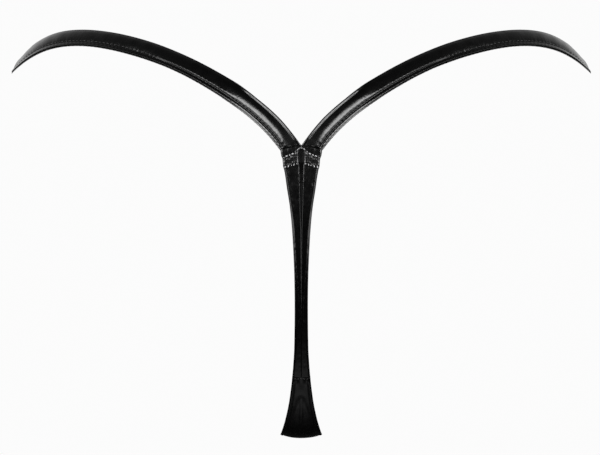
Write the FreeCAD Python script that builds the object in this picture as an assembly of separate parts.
import FreeCAD, Part
import math
import os

# Rear strap assembly of a thong brief in coated "wet look" fabric.
# Two curved waist bands meet in a V at a stitched junction (the yoke); a tapered rear strap
# runs down from the yoke and flares into the crotch panel.
# Millimetres. +Z up, +X to the right seen from behind, +Y towards the wearer's front.
# Origin: centre of the yoke's inner face, the face that lies against the wearer.
# Each soft run is split into segments at its flex lines, so that the segments can turn.

Vector = FreeCAD.Vector

# ---------------------------------------------------------------- driving dimensions
HINGE_GAP = 2.2              # free length of cloth at each flex line
HALF_GAP = HINGE_GAP / 2
LINING_SETBACK = 0.2         # elastic and lining stop this far inside a cut cover end

# Stitches: straight round threads laid just clear of the cloth face
STITCH_R = 0.22
STITCH_CLEAR = 0.10
STITCH_LIFT = STITCH_R + STITCH_CLEAR    # thread axis above the cloth face

# Yoke: flat layers in the XZ plane, measured from a mid plane behind the inner face
YOKE_LAYER = 0.85            # thickness of the folded cloth
YOKE_LAYER_OFFSET = 0.85     # mid plane to the near face of each folded layer
YOKE_MID_Y = -(YOKE_LAYER_OFFSET + YOKE_LAYER)
YOKE_TOP_Z = 8.5
YOKE_BOTTOM_Z = -11.9
YOKE_LINING_HALF_T = 0.5
YOKE_LINING_GAP = 0.4        # lining top below the band tails
TAIL_HALF_T = 0.75
TAIL_BOTTOM_Z = -3.0
TAIL_INNER_X = 0.15
TAIL_TOP_Z = 8.9             # at the inner edge

# Hip form that the bands lie on: half ellipses whose size changes with height
FORM_HALF_WIDTH = 185.1972   # at FORM_TIP_Z
FORM_TIP_Z = 54.0
FORM_WIDTH_K1 = 0.10177      # linear and square terms of the drop below FORM_TIP_Z
FORM_WIDTH_K2 = -0.00763
FORM_HALF_DEPTH = 108.5061   # at z = 0
FORM_DEPTH_C1 = 0.04142      # linear and square terms of the loss of depth with z
FORM_DEPTH_C2 = 0.00388

# Band centre line: (degrees round the hip form from the rear, height)
BAND_PATH = [
    (2.2, 7.775), (5.0, 18.809), (8.0, 28.63), (12.0, 39.142), (16.0, 47.523),
    (22.0, 57.609), (28.0, 65.265), (35.0, 71.593), (42.0, 75.636), (49.0, 77.797),
    (56.0, 77.93), (61.0, 76.634), (66.0, 74.099), (71.0, 70.461), (76.0, 66.654),
    (80.0, 64.247), (84.0, 63.036)]
BAND_START_DEG = BAND_PATH[0][0]
BAND_END_DEG = BAND_PATH[-1][0]          # where the side seam cuts the band
# Near the side the band leans in over the hip bone, fully so at the side seam
TWIST_START_DEG = 50.0
TWIST_DEG = 19.89

BAND_WIDTH = 11.9            # folded strip, edge to edge
BAND_HALF_W = BAND_WIDTH / 2
BAND_TUBE_HALF_T = 1.25      # casing over the elastic
BAND_FLANGE_HALF_T = 0.62    # stitched lower edge
BAND_END_HALF_T = 0.70       # where the end is pressed flat
FLATTEN_START = 26.0         # pressing flat begins this far short of the side seam
FLATTEN_RUN = 24.0           # and is complete after this length
STITCH_LINE = 3.7            # top-stitching, up from the lower edge
BAND_STITCH_U = -BAND_HALF_W + STITCH_LINE
BAND_STITCH_PITCH = 3.1
BAND_STITCH_LEN = 2.2

ELASTIC_LOW, ELASTIC_HIGH = -1.2, 4.7    # tape edges across the band, from its centre line
ELASTIC_HALF_T = 0.45
ELASTIC_END_GAP = 9.0        # tape stops this far short of the side seam
CAVITY_HALF_T = 0.62
CAVITY_CLEAR = 0.3           # beyond each edge of the tape
CAVITY_END_CLEAR = 1.0       # beyond the end of the tape
BAND_CUT_OVERRUN = 3.0       # cavity tool runs past a cut end

BAND_ROOT_FLEX = 5.0         # flex line beside the yoke, along the band from its start
BAND_MID_FLEX = 0.50         # flex line in the band, share of its length

# Rear strap
STRAP_HALF_T = 1.25
STRAP_CAVITY_INSET, STRAP_CAVITY_HALF_T = 0.95, 0.55
STRAP_LINING_INSET, STRAP_LINING_HALF_T = 1.15, 0.42
STRAP_CUT_OVERRUN = 2.0      # cutting tools run past both ends
STRAP_ROOT_FLEX_Z = -13.0    # flex line under the yoke
STRAP_MID_FLEX_Z = -78.0
CROTCH_FLEX_Z = -134.4       # crotch seam
# Strap edge: (inset from the edge, share of the half thickness)
STRAP_EDGE = [(0.0, 0.0), (0.45, 0.75), (1.3, 0.97)]

# Slot between the folded edges, on the outer face of the yoke and strap
SLOT_TOP_Z = 5.6
SLOT_HALF_TOP = 2.1          # half width at the yoke
SLOT_HALF_LOW = 0.45
SLOT_TAPER_HEIGHT = 36.0     # drop below the yoke over which it narrows
SLOT_FLOOR, SLOT_CEILING = 0.2, 2.2      # outward from the strap's mid surface

# Rear strap centre line: (depth from the mid plane, height)
STRAP_PATH = [
    (0.0, 9.0), (0.0, -10.0), (1.5, -30.0), (7.0, -60.0), (16.0, -90.0), (27.0, -115.0),
    (39.0, -134.4), (53.0, -151.9), (70.0, -166.4), (88.0, -174.6), (104.0, -176.4)]
# Half width of the strap and crotch panel: (height, half width), downwards
STRAP_HALF_WIDTH = [
    (9.0, 12.2), (-2.8, 11.0), (-10.1, 9.66), (-17.5, 8.66), (-27.4, 7.02), (-37.3, 5.94),
    (-47.3, 5.20), (-57.3, 4.68), (-67.4, 4.24), (-77.6, 4.02), (-87.8, 3.91),
    (-98.1, 3.94), (-108.5, 4.06), (-118.9, 4.28), (-129.4, 4.97), (-134.4, 5.42),
    (-140.0, 5.92), (-150.5, 7.25), (-156.0, 8.20), (-161.2, 9.28), (-165.0, 10.15),
    (-168.0, 10.92), (-171.0, 11.75), (-173.0, 12.33), (-174.6, 12.80), (-176.4, 13.20)]

# Crotch panel: two crowned sheets either side of the centre line
PANEL_OUTER_T = 0.85
PANEL_LINING_T = 0.60
PANEL_GAP = 0.12
PANEL_OUTER_MID = (PANEL_LINING_T + PANEL_GAP) / 2
PANEL_LINING_MID = -(PANEL_OUTER_T + PANEL_GAP) / 2
PANEL_LINING_INSET = 0.8
PANEL_END_TRIM = 0.01        # panel stops just short of the path's end
CROWN_AT_SEAM = 0.2          # how far the panel's edges fall below its middle
CROWN_AT_END = 2.3
CROWN_STATIONS = [-1.0, -0.66, -0.33, 0.0, 0.33, 0.66, 1.0]    # shares of the half width
SEAM_STITCH_COUNT = 4
SEAM_STITCH_SETBACK = 1.6    # along the panel from its seam end
SEAM_STITCH_INSET = 0.6      # row ends, in from the panel edges
SEAM_STITCH_MARGIN = 0.12    # share of a stitch's pitch left free at each end

# Greatest spacing of loft sections along each run
BAND_STEP = 6.0
STRAP_STEP = 8.0
PANEL_STEP = 6.0


# ---------------------------------------------------------------- curves
def spline(xs, ys):
    """Natural cubic spline through the points, as a function of x."""
    count = len(xs)
    step = [xs[i + 1] - xs[i] for i in range(count - 1)]
    # tridiagonal system for the second derivatives, which are zero at both ends
    lower = [0.0] * count
    diagonal = [1.0] * count
    upper = [0.0] * count
    right = [0.0] * count
    for i in range(1, count - 1):
        lower[i] = step[i - 1]
        diagonal[i] = 2 * (step[i - 1] + step[i])
        upper[i] = step[i]
        right[i] = 6 * ((ys[i + 1] - ys[i]) / step[i] - (ys[i] - ys[i - 1]) / step[i - 1])
    for i in range(1, count):
        factor = lower[i] / diagonal[i - 1]
        diagonal[i] -= factor * upper[i - 1]
        right[i] -= factor * right[i - 1]
    bend = [0.0] * count
    for i in range(count - 2, -1, -1):
        bend[i] = (right[i] - upper[i] * bend[i + 1]) / diagonal[i]

    def value(x):
        i = 0
        while i < count - 2 and x > xs[i + 1]:
            i += 1
        after, before, h = x - xs[i], xs[i + 1] - x, step[i]
        return ((bend[i] * before ** 3 + bend[i + 1] * after ** 3) / (6 * h)
                + (ys[i] / h - bend[i] * h / 6) * before
                + (ys[i + 1] / h - bend[i + 1] * h / 6) * after)
    return value


def linear(table):
    """Straight-line interpolation in a table, held constant beyond its ends."""
    points = sorted(table)

    def value(x):
        if x <= points[0][0]:
            return points[0][1]
        for (x0, y0), (x1, y1) in zip(points, points[1:]):
            if x <= x1:
                return y0 + (y1 - y0) * (x - x0) / (x1 - x0)
        return points[-1][1]
    return value


def clamp(share):
    return max(0.0, min(1.0, share))


def ease(share):
    """Smooth rise from 0 to 1, level at both ends."""
    share = clamp(share)
    return share * share * (3 - 2 * share)


def unit(vector):
    return vector * (1.0 / vector.Length)


# ---------------------------------------------------------------- band path
band_height = spline([math.radians(deg) for deg, z in BAND_PATH], [z for deg, z in BAND_PATH])


def form_point(angle, z):
    """Point on the hip form at an angle from the rear and a height."""
    drop = FORM_TIP_Z - z
    half_width = FORM_HALF_WIDTH + FORM_WIDTH_K1 * drop + FORM_WIDTH_K2 * drop * drop
    half_depth = FORM_HALF_DEPTH - FORM_DEPTH_C1 * z - FORM_DEPTH_C2 * z * z
    return Vector(half_width * math.sin(angle),
                  FORM_HALF_DEPTH - half_depth * math.cos(angle) + YOKE_MID_Y, z)


def band_point(angle):
    return form_point(angle, band_height(angle))


def band_frame_at(angle):
    """Centre, across (towards the upper edge) and outward for the right band."""
    e = 1e-4
    z = band_height(angle)
    by_angle = (form_point(angle + e, z) - form_point(angle - e, z)) * (0.5 / e)
    by_height = (form_point(angle, z + e) - form_point(angle, z - e)) * (0.5 / e)
    climb = (band_height(angle + e) - band_height(angle - e)) * (0.5 / e)
    along = unit(by_angle + by_height * climb)
    outward = unit(by_angle.cross(by_height))
    across = unit(outward.cross(along))
    share = (math.degrees(angle) - TWIST_START_DEG) / (BAND_END_DEG - TWIST_START_DEG)
    twist = math.radians(TWIST_DEG) * ease(share)
    cos, sin = math.cos(twist), math.sin(twist)
    return form_point(angle, z), across * cos - outward * sin, outward * cos + across * sin


# Length along the band at evenly spaced angles
TABLE_N = 600
_first, _last = math.radians(BAND_START_DEG), math.radians(BAND_END_DEG)
ANGLES = [_first + (_last - _first) * i / TABLE_N for i in range(TABLE_N + 1)]
LENGTHS = [0.0]
for _from, _to in zip(ANGLES, ANGLES[1:]):
    LENGTHS.append(LENGTHS[-1] + (band_point(_to) - band_point(_from)).Length)
BAND_LENGTH = LENGTHS[-1]


def band_frame(s):
    """Band frame at a length s from the band's start."""
    low, high = 0, TABLE_N
    while high - low > 1:
        middle = (low + high) // 2
        if LENGTHS[middle] <= s:
            low = middle
        else:
            high = middle
    share = (s - LENGTHS[low]) / (LENGTHS[high] - LENGTHS[low])
    return band_frame_at(ANGLES[low] + share * (ANGLES[high] - ANGLES[low]))


# ---------------------------------------------------------------- rear strap path
_chords = [0.0]
for (_y0, _z0), (_y1, _z1) in zip(STRAP_PATH, STRAP_PATH[1:]):
    _chords.append(_chords[-1] + math.hypot(_y1 - _y0, _z1 - _z0))
STRAP_LENGTH = _chords[-1]
strap_depth = spline(_chords, [y for y, z in STRAP_PATH])
strap_height = spline(_chords, [z for y, z in STRAP_PATH])
half_width_at_height = linear(STRAP_HALF_WIDTH)


def strap_half_width(s):
    return half_width_at_height(strap_height(s))


def strap_frame(s):
    """Centre, across (+X) and outward for the rear strap and crotch panel."""
    e = 1e-3
    centre = Vector(0, strap_depth(s) + YOKE_MID_Y, strap_height(s))
    along = unit(Vector(0, strap_depth(s + e) - strap_depth(s - e),
                        strap_height(s + e) - strap_height(s - e)))
    return centre, Vector(1, 0, 0), unit(Vector(0, along.z, -along.y))


def strap_at_height(z):
    """Length along the strap at which it reaches a height."""
    low, high = 0.0, STRAP_LENGTH
    for _ in range(60):
        middle = (low + high) / 2
        if strap_height(middle) > z:
            low = middle
        else:
            high = middle
    return low


ROOT_S = strap_at_height(STRAP_ROOT_FLEX_Z)
MID_S = strap_at_height(STRAP_MID_FLEX_Z)
CROTCH_S = strap_at_height(CROTCH_FLEX_Z)


# ---------------------------------------------------------------- solid builders
def polygon(points):
    return Part.makePolygon(points + [points[0]])


def place(frame, u, v):
    """Point at u across and v outward in a frame."""
    centre, across, outward = frame
    return centre + across * u + outward * v


def loft_along(frame_at, start, end, profile, step):
    """Closed solid through the profile's polygons, set at even stations along a path."""
    count = max(3, int(math.ceil((end - start) / step)) + 1)
    sections = []
    for i in range(count):
        s = start + (end - start) * i / (count - 1)
        frame = frame_at(s)
        sections.append(polygon([place(frame, u, v) for u, v in profile(s)]))
    solid = Part.makeLoft(sections, True, False)
    if solid.Volume < 0:
        solid.reverse()
    return solid


def band_loft(start, end, profile):
    return loft_along(band_frame, start, end, profile, BAND_STEP)


def strap_loft(start, end, profile, step=STRAP_STEP):
    return loft_along(strap_frame, start, end, profile, step)


def plate(points, y_low, y_high):
    """Flat cloth layer in the XZ plane between two depths from the mid plane."""
    face = Part.Face(polygon([Vector(x, YOKE_MID_Y + y_low, z) for x, z in points]))
    return face.extrude(Vector(0, y_high - y_low, 0))


def stitch(start, end, gap=0.0):
    """One thread between two points, shortened by the gap shared between its ends."""
    run = end - start
    return Part.makeCylinder(STITCH_R, run.Length - gap, start + unit(run) * (gap / 2), run)


def yoke_stitches(points, gap):
    """One stitch per side of a polyline on the yoke's outer face."""
    y = YOKE_MID_Y - YOKE_LAYER_OFFSET - YOKE_LAYER - STITCH_LIFT
    places = [Vector(x, y, z) for x, z in points]
    return [stitch(p, q, gap) for p, q in zip(places, places[1:])]


def mirrored_points(points):
    """The points on the other side of x = 0, in reverse order."""
    return [(-x, z) for x, z in reversed(points)]


def save(name, shape):
    shape.exportStep(os.path.join("parts", name + ".step"))


def save_pair(name, right):
    save("right_" + name, right)
    save("left_" + name, right.mirror(Vector(0, 0, 0), Vector(1, 0, 0)))


# ---------------------------------------------------------------- profiles
# Each gives (across, outward) corners of a section at a length along its path.
def rectangle(low, high, bottom, top):
    return [(low, bottom), (high, bottom), (high, top), (low, top)]


def both_faces(top):
    """Closes an outer outline with its mirror image on the inner face."""
    return top + [(u, -v) for u, v in reversed(top[1:-1])]


def band_cover_profile(s):
    flat = ease((s - (BAND_LENGTH - FLATTEN_START)) / FLATTEN_RUN)
    tube = BAND_TUBE_HALF_T * (1 - flat) + BAND_END_HALF_T * flat
    flange = BAND_FLANGE_HALF_T
    shoulder = tube * 0.92 if flat < 1 else tube
    return both_faces([
        (-BAND_HALF_W, 0.0), (-BAND_HALF_W + 0.35, flange * 0.9),          # lower edge
        (BAND_STITCH_U - 0.5, flange), (BAND_STITCH_U + 0.35, flange),     # stitched flange
        (BAND_STITCH_U + 1.3, shoulder), (BAND_HALF_W - 2.6, tube),        # casing
        (BAND_HALF_W - 0.7, tube * 0.72), (BAND_HALF_W, 0.0)])             # upper edge


def band_cavity_profile(s):
    return rectangle(ELASTIC_LOW - CAVITY_CLEAR, ELASTIC_HIGH + CAVITY_CLEAR,
                     -CAVITY_HALF_T, CAVITY_HALF_T)


def elastic_profile(s):
    return rectangle(ELASTIC_LOW, ELASTIC_HIGH, -ELASTIC_HALF_T, ELASTIC_HALF_T)


def strap_cover_profile(s):
    half = strap_half_width(s)
    left = [(-half + inset, STRAP_HALF_T * share) for inset, share in STRAP_EDGE]
    return both_faces(left + mirrored_points(left))


def strap_cavity_profile(s):
    half = strap_half_width(s) - STRAP_CAVITY_INSET
    return rectangle(-half, half, -STRAP_CAVITY_HALF_T, STRAP_CAVITY_HALF_T)


def strap_lining_profile(s):
    half = strap_half_width(s) - STRAP_LINING_INSET
    return rectangle(-half, half, -STRAP_LINING_HALF_T, STRAP_LINING_HALF_T)


def strap_slot_profile(s):
    taper = clamp((YOKE_BOTTOM_Z - strap_height(s)) / SLOT_TAPER_HEIGHT)
    half = SLOT_HALF_TOP * (1 - taper) + SLOT_HALF_LOW * taper
    return rectangle(-half, half, SLOT_FLOOR, SLOT_CEILING)


def sheet_profile(s, middle, thickness, inset=0.0):
    """Crowned sheet of the crotch panel."""
    half = strap_half_width(s) - inset
    share = (s - CROTCH_S) / (STRAP_LENGTH - CROTCH_S)
    crown = CROWN_AT_SEAM + (CROWN_AT_END - CROWN_AT_SEAM) * share
    outer = [(half * x, middle + thickness / 2 - crown * x * x) for x in CROWN_STATIONS]
    inner = [(u, v - thickness) for u, v in reversed(outer)]
    return outer + inner


# ---------------------------------------------------------------- yoke
# Outlines and stitch rows as (x, z), right half, from the centre outwards and down
YOKE_EDGE = [
    (0.0, YOKE_TOP_Z), (1.5, 8.0), (2.9, 7.0), (4.6, 6.0), (7.6, 4.5),
    (10.8, 3.1), (11.5, 0.9), (11.0, -2.8), (10.1, -6.5), (9.66, -10.1),
    (9.40, YOKE_BOTTOM_Z)]
TAIL_OUTER_EDGE = [(10.6, TAIL_BOTTOM_Z), (12.2, 2.8), (12.6, 4.6), (13.0, 6.3)]   # upwards
YOKE_LINING_RIGHT = [(7.6, YOKE_BOTTOM_Z), (8.2, TAIL_BOTTOM_Z - YOKE_LINING_GAP)]
UPPER_ROW = [(0.0, 7.55), (1.9, 7.05), (3.4, 5.75), (5.0, 4.6), (6.8, 3.6), (8.6, 2.7),
             (10.4, 1.75)]
LOWER_ROW = [(2.8, -2.35), (5.3, -2.75), (7.8, -3.3), (10.2, -3.95)]
UPPER_ROW_GAP = 0.55
LOWER_ROW_GAP = 1.0


def build_band_tails():
    """Flat band ends inside the yoke, reaching out to the root flex line."""
    root = band_frame(BAND_ROOT_FLEX - HALF_GAP)
    low, up = place(root, -BAND_HALF_W, 0), place(root, BAND_HALF_W, 0)
    outline = ([(TAIL_INNER_X, TAIL_BOTTOM_Z)] + TAIL_OUTER_EDGE
               + [(low.x, low.z), (up.x, up.z), (TAIL_INNER_X, TAIL_TOP_Z)])
    save_pair("band_tail", plate(outline, -TAIL_HALF_T, TAIL_HALF_T))


def build_yoke():
    left_edge = mirrored_points(YOKE_EDGE[1:])
    slot_right = [(SLOT_HALF_TOP, YOKE_BOTTOM_Z), (SLOT_HALF_TOP, SLOT_TOP_Z)]
    slot = slot_right + mirrored_points(slot_right)
    near, far = YOKE_LAYER_OFFSET, YOKE_LAYER_OFFSET + YOKE_LAYER
    save("yoke_cover", plate(YOKE_EDGE + slot + left_edge, -far, -near))
    save("yoke_facing", plate(YOKE_EDGE + left_edge, near, far))
    save("yoke_lining", plate(mirrored_points(YOKE_LINING_RIGHT) + YOKE_LINING_RIGHT,
                              -YOKE_LINING_HALF_T, YOKE_LINING_HALF_T))
    upper = yoke_stitches(mirrored_points(UPPER_ROW[1:]) + UPPER_ROW, UPPER_ROW_GAP)
    lower = (yoke_stitches(mirrored_points(LOWER_ROW), LOWER_ROW_GAP)
             + yoke_stitches(LOWER_ROW, LOWER_ROW_GAP))
    save("yoke_upper_stitches", Part.Compound(upper))
    save("yoke_lower_stitches", Part.Compound(lower))


# ---------------------------------------------------------------- waist bands
def band_stitches(start, end):
    """An evenly centred row of stitches on the outer and on the inner face."""
    count = int((end - start - BAND_STITCH_LEN) // BAND_STITCH_PITCH)
    margin = ((end - start) - count * BAND_STITCH_PITCH - BAND_STITCH_LEN) / 2
    threads = []
    for i in range(count + 1):
        s = start + margin + i * BAND_STITCH_PITCH
        first, last = band_frame(s), band_frame(s + BAND_STITCH_LEN)
        for side in (1, -1):
            v = side * (BAND_FLANGE_HALF_T + STITCH_LIFT)
            threads.append(stitch(place(first, BAND_STITCH_U, v),
                                  place(last, BAND_STITCH_U, v)))
    return Part.Compound(threads)


def build_band_segment(name, cover, cavity_end, elastic_end, stitches):
    """Casing, elastic and stitches; cover and stitches are (start, end) along the band."""
    start, end = cover
    cavity = band_loft(start - BAND_CUT_OVERRUN, cavity_end, band_cavity_profile)
    save_pair(name + "_cover", band_loft(start, end, band_cover_profile).cut(cavity))
    save_pair(name + "_elastic",
              band_loft(start + LINING_SETBACK, elastic_end, elastic_profile))
    save_pair(name + "_stitches", band_stitches(*stitches))


def build_bands():
    middle = BAND_LENGTH * BAND_MID_FLEX
    start, end = BAND_ROOT_FLEX + HALF_GAP, middle - HALF_GAP
    build_band_segment("band_inner", cover=(start, end),
                       cavity_end=end + BAND_CUT_OVERRUN,
                       elastic_end=end - LINING_SETBACK,
                       stitches=(start + 0.5, end - 0.3))
    start, end = middle + HALF_GAP, BAND_LENGTH
    elastic_end = BAND_LENGTH - ELASTIC_END_GAP
    build_band_segment("band_outer", cover=(start, end),
                       cavity_end=elastic_end + CAVITY_END_CLEAR,
                       elastic_end=elastic_end,
                       stitches=(start + 0.3, end - 1.0))


# ---------------------------------------------------------------- rear strap
def build_strap_segment(name, start, end):
    """Hollow slotted cover and the flat lining inside it."""
    cover = strap_loft(start, end, strap_cover_profile)
    for profile in (strap_cavity_profile, strap_slot_profile):
        cover = cover.cut(strap_loft(start - STRAP_CUT_OVERRUN, end + STRAP_CUT_OVERRUN,
                                     profile))
    save(name + "_cover", cover)
    save(name + "_lining",
         strap_loft(start + LINING_SETBACK, end - LINING_SETBACK, strap_lining_profile))


# ---------------------------------------------------------------- crotch panel
def build_crotch_panel():
    start, end = CROTCH_S + HALF_GAP, STRAP_LENGTH - PANEL_END_TRIM
    save("crotch_panel_outer", strap_loft(
        start, end, lambda s: sheet_profile(s, PANEL_OUTER_MID, PANEL_OUTER_T), PANEL_STEP))
    save("crotch_panel_lining", strap_loft(
        start, end,
        lambda s: sheet_profile(s, PANEL_LINING_MID, PANEL_LINING_T, PANEL_LINING_INSET),
        PANEL_STEP))

    # one row across the outer face, beside the seam
    row_s = start + SEAM_STITCH_SETBACK
    frame = strap_frame(row_s)
    half = strap_half_width(row_s) - SEAM_STITCH_INSET
    pitch = 2 * half / SEAM_STITCH_COUNT
    v = PANEL_OUTER_MID + PANEL_OUTER_T / 2 + STITCH_LIFT
    threads = []
    for i in range(SEAM_STITCH_COUNT):
        left = -half + pitch * (i + SEAM_STITCH_MARGIN)
        right = -half + pitch * (i + 1 - SEAM_STITCH_MARGIN)
        threads.append(stitch(place(frame, left, v), place(frame, right, v)))
    save("crotch_seam_stitches", Part.Compound(threads))


# ---------------------------------------------------------------- build
os.makedirs("parts", exist_ok=True)
build_band_tails()
build_yoke()
build_bands()
build_strap_segment("rear_strap_upper", ROOT_S + HALF_GAP, MID_S - HALF_GAP)
build_strap_segment("rear_strap_lower", MID_S + HALF_GAP, CROTCH_S - HALF_GAP)
build_crotch_panel()
